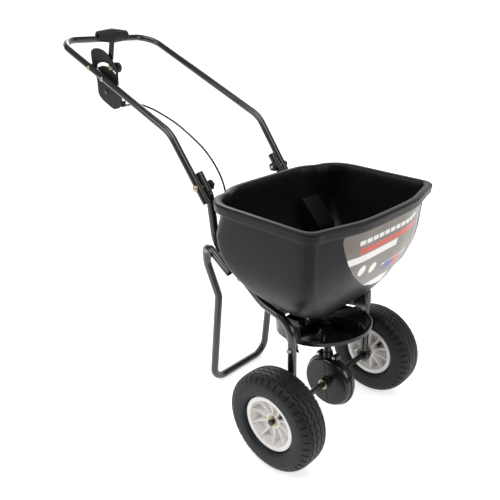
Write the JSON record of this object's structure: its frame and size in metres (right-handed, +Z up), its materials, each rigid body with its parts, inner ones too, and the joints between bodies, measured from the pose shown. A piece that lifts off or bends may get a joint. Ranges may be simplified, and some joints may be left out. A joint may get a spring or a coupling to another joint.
{
  "type": "garden spreader",
  "caption": "Walk-behind broadcast spreader: open hopper on a tube frame with wheels, rear stand, axle-driven spinner, folding handle and a lever that works the outlet gate.",
  "frame": {"origin": "middle of the footprint on the floor, under the centre of the whole object's bounding box", "axes": "+Z up, -Y towards the front of the machine, the way it is pushed, +Y towards the handle, +X towards the idle wheel"},
  "size_m": [0.528, 1.0792, 0.9987],
  "materials": {
    "poly": "satin black moulded",
    "tube": "gloss black powder coat",
    "tyre": "matt black rubber",
    "rim": "off-white moulded",
    "zinc": "yellow zinc plate",
    "steel": "bright zinc plate",
    "plastic": "black moulded",
    "gear": "natural nylon"
  },
  "bodies": {
    "frame": {"hopper": "poly", "frame_tube_right": "tube", "frame_tube_left": "tube", "rear_stand": "tube", "stand_bolt_right": "zinc", "stand_bolt_left": "zinc", "hopper_bolt_right": "zinc", "hopper_bolt_left": "zinc", "fold_bolt_right": "zinc", "fold_bolt_left": "zinc", "fold_knob_right": "plastic", "fold_knob_left": "plastic", "axle_bushing_right": "plastic", "axle_bushing_left": "plastic", "gearcase_right_half": "plastic", "gearcase_left_half": "plastic", "gearcase_screw_1": "zinc", "gearcase_screw_2": "zinc", "shaft_bushing": "plastic", "gate_bracket": "tube", "cross_brace": "tube", "brace_bolt_right": "zinc", "brace_bolt_left": "zinc", "floor_bolt_right": "zinc", "floor_bolt_left": "zinc", "spinner_deflector": "plastic", "control_cable": "plastic"},
    "handle": {"upper_handle": "tube", "control_plate": "plastic", "plate_bolt_1": "zinc", "plate_bolt_2": "zinc", "lever_pivot_bolt": "zinc"},
    "lever": {"control_lever": "poly", "lever_grip": "plastic"},
    "stop": {"stop_bolt": "zinc", "stop_knob": "plastic"},
    "gate": {"shutter_gate": "poly"},
    "axle_set": {"axle": "steel", "drive_rim": "rim", "drive_tyre": "tyre", "drive_valve_stem": "tyre", "drive_pin": "steel", "drive_washer": "zinc", "idle_washer": "zinc", "axle_cotter_right": "steel", "axle_cotter_left": "steel", "axle_spacer_right": "zinc", "axle_spacer_left": "zinc", "ring_gear": "gear", "case_washer_right": "zinc", "case_cotter_right": "steel", "case_collar_left": "plastic"},
    "idle_wheel": {"idle_rim": "rim", "idle_tyre": "tyre", "idle_valve_stem": "tyre"},
    "spinner_set": {"spinner_shaft": "steel", "bevel_pinion": "gear", "spinner": "plastic", "spinner_pin": "steel", "agitator_pin": "steel"}
  },
  "joints": [
    {"name": "handle_fold", "type": "hinge", "parent": "frame", "child": "handle", "pos_m": [0, -0.07257, 0.633], "axis": [-1, 0, 0], "range_deg": [0, 75], "deforming": ["control_cable"]},
    {"name": "lever_swing", "type": "hinge", "parent": "handle", "child": "lever", "pos_m": [-0.149, 0.31844, 0.829], "axis": [-1, 0, 0], "range_deg": [0, 40]},
    {"name": "stop_slide", "type": "hinge", "parent": "handle", "child": "stop", "pos_m": [-0.149, 0.31844, 0.829], "axis": [1, 0, 0], "range_deg": [0, 11]},
    {"name": "gate_slide", "type": "slide", "parent": "frame", "child": "gate", "axis": [0, -0.9863, 0.165], "range_m": [0, 0.0181]},
    {"name": "axle_spin", "type": "hinge", "parent": "frame", "child": "axle_set", "pos_m": [0, -0.40357, 0.129], "axis": [1, 0, 0], "continuous": true},
    {"name": "idle_wheel_spin", "type": "hinge", "parent": "frame", "child": "idle_wheel", "pos_m": [0, -0.40357, 0.129], "axis": [1, 0, 0], "continuous": true},
    {"name": "spinner_spin", "type": "hinge", "parent": "frame", "child": "spinner_set", "pos_m": [0, -0.40357, 0.129], "axis": [0, 0.165, 0.9863], "continuous": true}
  ],
  "couplings": [
    {"joint": "gate_slide", "follows": "lever_swing", "m_per_rad": 0.02578},
    {"joint": "spinner_spin", "follows": "axle_spin", "ratio": -4}
  ]
}
